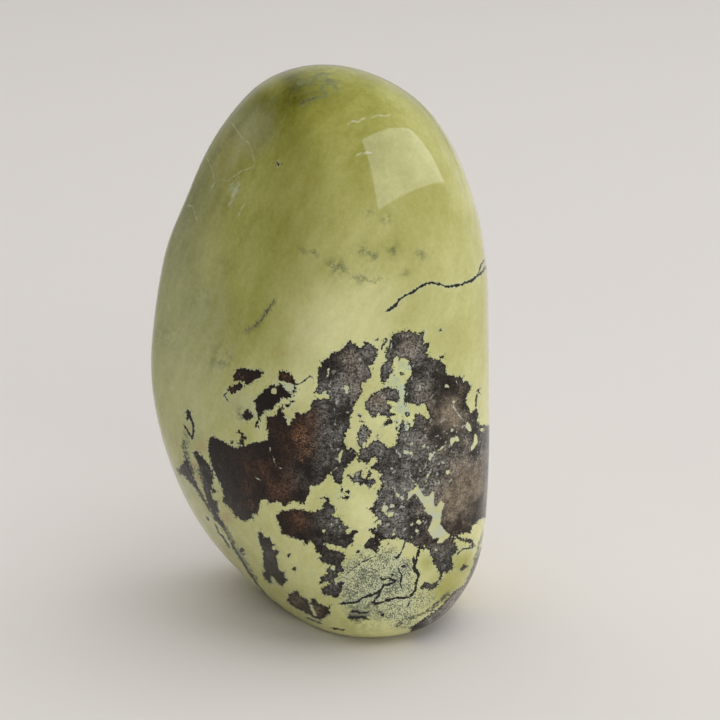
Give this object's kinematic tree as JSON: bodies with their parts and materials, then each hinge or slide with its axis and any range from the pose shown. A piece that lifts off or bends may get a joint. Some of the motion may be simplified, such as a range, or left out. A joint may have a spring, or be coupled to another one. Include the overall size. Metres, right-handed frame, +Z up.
{
  "type": "serpentine rock",
  "caption": "Hand-sized polished serpentine stone, an upright rounded freeform that stands on a small flat cut base",
  "frame": {"origin": "on the flat base face, straight below the middle of the stone's foot", "axes": "+Z up along the stone's long side, +X to the right as seen from the front, +Y towards the back"},
  "size_m": [0.0628, 0.0485, 0.1041],
  "materials": {
    "serpentine": "polished yellow-green serpentine with satin brown-black patches and thin dark veins"
  },
  "bodies": {
    "root": {"serpentine_rock": "serpentine"}
  },
  "joints": []
}
